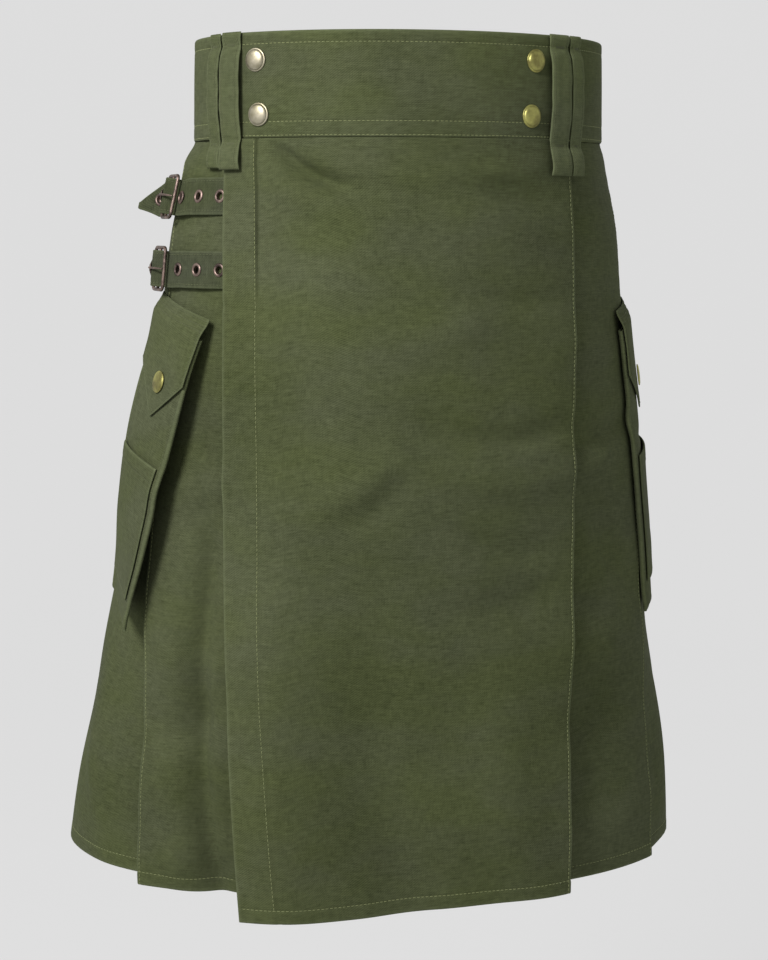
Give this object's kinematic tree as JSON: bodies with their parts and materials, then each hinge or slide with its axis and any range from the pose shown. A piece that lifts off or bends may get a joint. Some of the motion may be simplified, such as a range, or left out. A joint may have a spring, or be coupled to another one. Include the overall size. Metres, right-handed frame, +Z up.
{
  "type": "utility kilt",
  "caption": "Wrap kilt with a wide studded waistband, plain overlapping aprons, rear pleats, buckled hip straps and flapped cargo pockets.",
  "frame": {"origin": "centre of the waist opening, halfway up the waistband, where the wearer's waist holds the garment", "axes": "+Z up out of the waist, -Y the front with the outer apron, +X the wearer's left, with the apron's folded edge; the buckled straps are on -X, the wearer's right"},
  "size_m": [0.4754, 0.337, 0.6095],
  "materials": {
    "drill": "olive cotton drill, matt, fine diagonal weave",
    "webbing": "olive drill strap, matt, edge-stitched",
    "pearl": "pale metal snap cap with a warm rim",
    "brass": "antique brass snap cap",
    "steel": "antique steel with a copper tone"
  },
  "bodies": {
    "root": {"belt_loop_back_centre": "drill", "belt_loop_back_left": "drill", "belt_loop_back_right": "drill", "belt_loop_left_front": "drill", "belt_loop_left_rear": "drill", "belt_loop_right_front": "drill", "belt_loop_right_rear": "drill", "left_pocket_bag": "drill", "left_pocket_flap": "drill", "left_pocket_patch": "drill", "left_pocket_snap": "brass", "lower_buckle_frame": "steel", "lower_buckle_prong": "steel", "lower_buckle_tab": "webbing", "lower_eyelet_1": "steel", "lower_eyelet_2": "steel", "lower_eyelet_3": "steel", "lower_eyelet_4": "steel", "lower_eyelet_5": "steel", "lower_strap": "webbing", "outer_apron": "drill", "pleated_skirt": "drill", "right_pocket_bag": "drill", "right_pocket_flap": "drill", "right_pocket_patch": "drill", "right_pocket_snap": "brass", "stud_left_lower": "pearl", "stud_left_upper": "pearl", "stud_right_lower": "brass", "stud_right_upper": "brass", "under_apron": "drill", "upper_buckle_frame": "steel", "upper_buckle_prong": "steel", "upper_buckle_tab": "webbing", "upper_eyelet_1": "steel", "upper_eyelet_2": "steel", "upper_eyelet_3": "steel", "upper_eyelet_4": "steel", "upper_eyelet_5": "steel", "upper_strap": "webbing", "waistband": "drill"}
  },
  "joints": []
}
